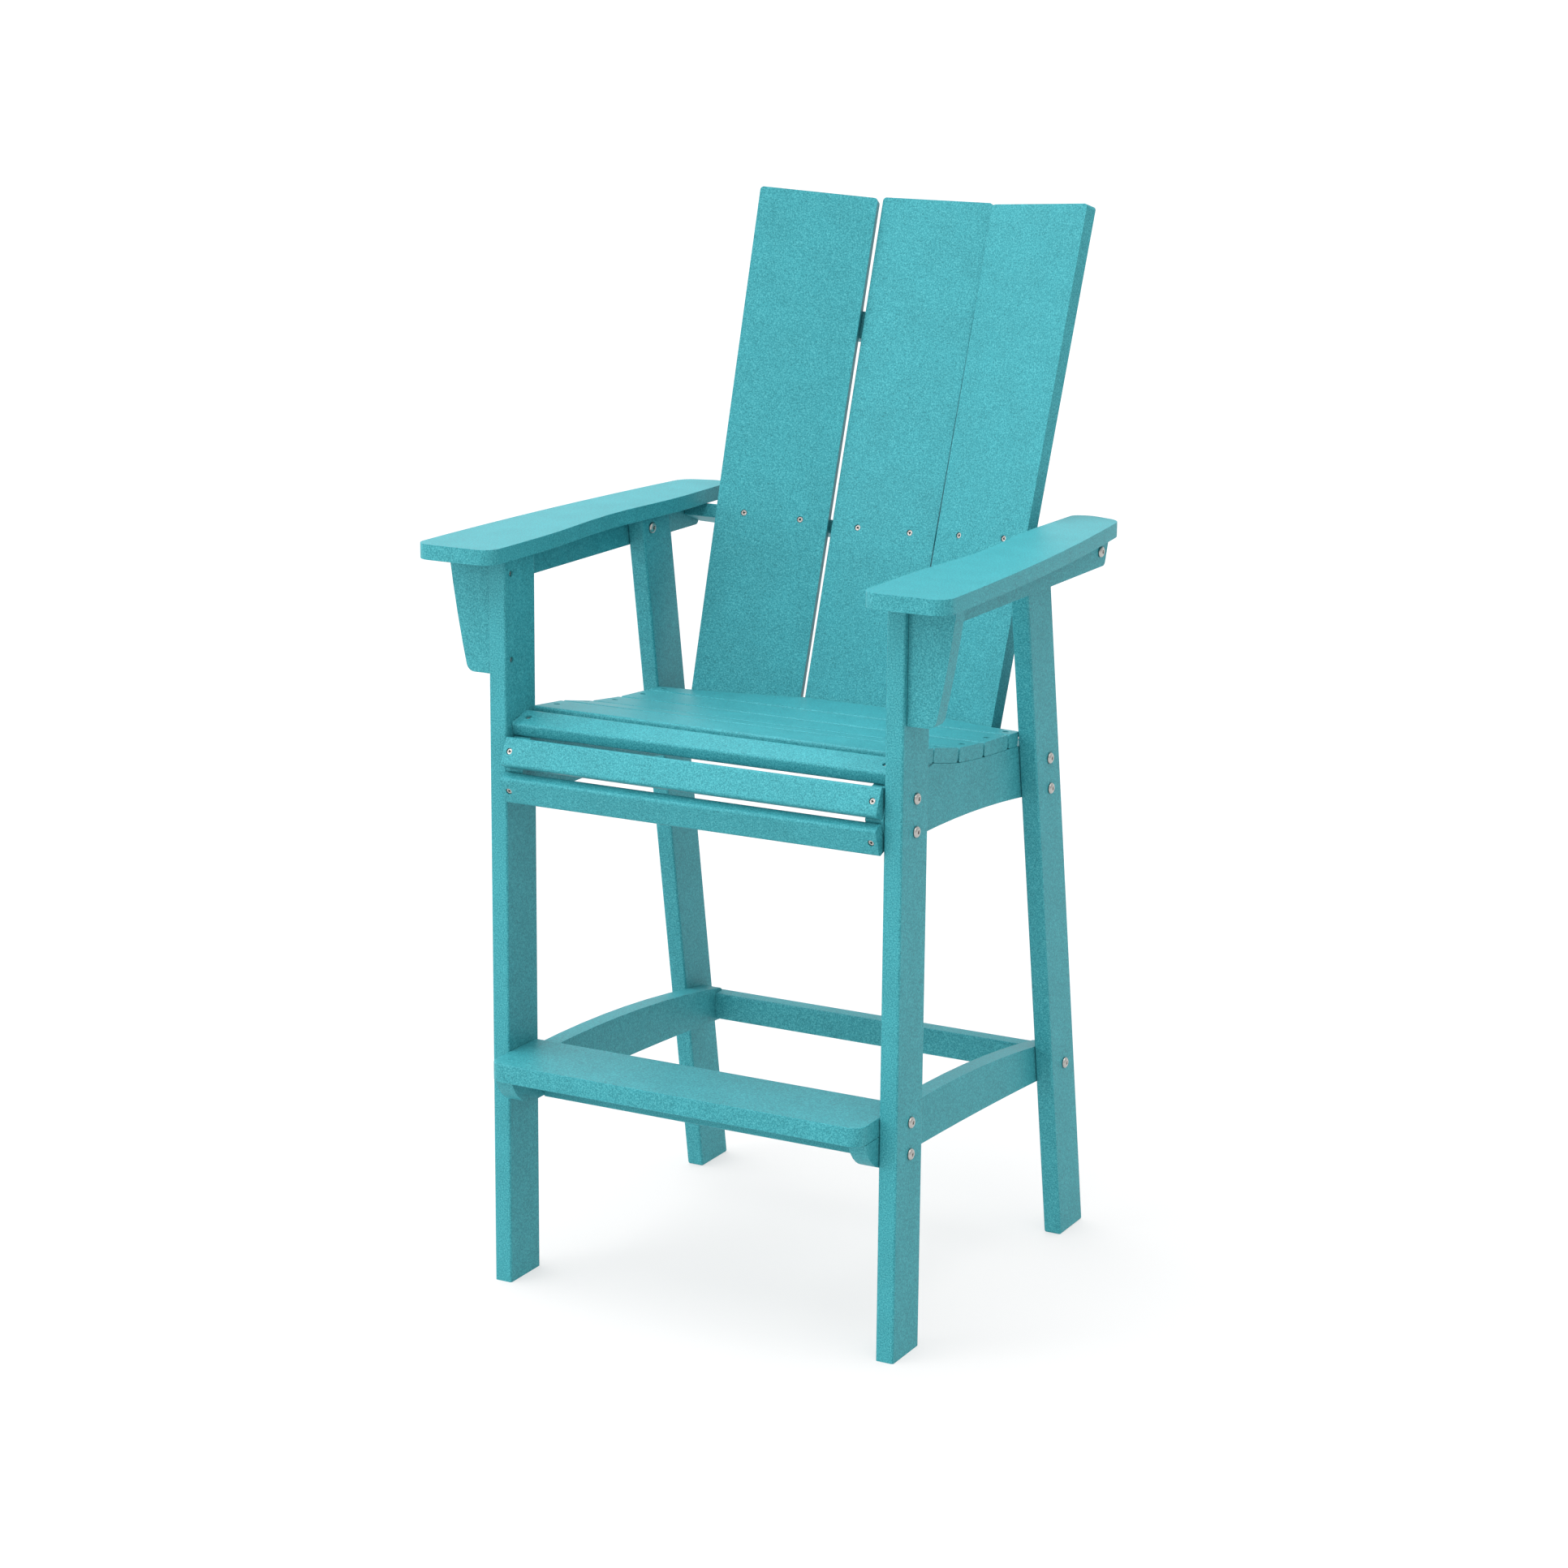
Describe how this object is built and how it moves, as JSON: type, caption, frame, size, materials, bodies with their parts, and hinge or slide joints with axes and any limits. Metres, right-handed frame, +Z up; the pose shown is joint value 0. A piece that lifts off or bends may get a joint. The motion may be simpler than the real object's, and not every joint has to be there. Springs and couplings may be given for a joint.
{
  "type": "bar-height adirondack chair",
  "caption": "Tall adirondack chair of teal plastic-lumber boards with a leaning fan back, broad arms, a contoured slatted seat and a footrest between the legs.",
  "frame": {"origin": "on the floor, under the middle of the chair's box", "axes": "+X towards the sitter's left, -Y the way the sitter faces, +Z up"},
  "size_m": [0.7494, 0.7534, 1.4039],
  "materials": {
    "lumber": "fine-grained matt extruded plastic lumber, coloured right through, with softly rounded edges",
    "bolts": "satin stainless button heads with a hex socket",
    "screws": "satin stainless flat heads with a cross recess, sunk below the face"
  },
  "bodies": {
    "root": {"front_leg_left": "lumber", "front_leg_right": "lumber", "rear_leg_left": "lumber", "rear_leg_right": "lumber", "arm_left": "lumber", "arm_right": "lumber", "arm_rail_left": "lumber", "arm_rail_right": "lumber", "arm_bracket_left": "lumber", "arm_bracket_right": "lumber", "seat_rail_left": "lumber", "seat_rail_right": "lumber", "seat_nose_slat": "lumber", "seat_slat_1": "lumber", "seat_slat_2": "lumber", "seat_slat_3": "lumber", "seat_slat_4": "lumber", "seat_rear_slat": "lumber", "upper_apron": "lumber", "lower_apron": "lumber", "centre_slat": "lumber", "wing_slat_left": "lumber", "wing_slat_right": "lumber", "upper_brace": "lumber", "arm_level_brace": "lumber", "lower_brace": "lumber", "footrest_board": "lumber", "footrest_support": "lumber", "side_stretcher_left": "lumber", "side_stretcher_right": "lumber", "rear_stretcher": "lumber", "bolt_seat_front_upper_left": "bolts", "bolt_seat_front_upper_right": "bolts", "bolt_seat_front_lower_left": "bolts", "bolt_seat_front_lower_right": "bolts", "bolt_footrest_left": "bolts", "bolt_footrest_right": "bolts", "bolt_stretcher_front_left": "bolts", "bolt_stretcher_front_right": "bolts", "bolt_seat_rear_upper_left": "bolts", "bolt_seat_rear_upper_right": "bolts", "bolt_seat_rear_lower_left": "bolts", "bolt_seat_rear_lower_right": "bolts", "bolt_stretcher_rear_left": "bolts", "bolt_stretcher_rear_right": "bolts", "bolt_arm_rear_left": "bolts", "bolt_arm_rear_right": "bolts", "bolt_arm_leg_left": "bolts", "bolt_arm_leg_right": "bolts", "back_screw_centre_1": "screws", "back_screw_centre_2": "screws", "back_screw_left_1": "screws", "back_screw_left_2": "screws", "back_screw_right_1": "screws", "back_screw_right_2": "screws", "apron_screw_upper_left": "screws", "apron_screw_upper_right": "screws", "apron_screw_lower_left": "screws", "apron_screw_lower_right": "screws"}
  },
  "joints": []
}
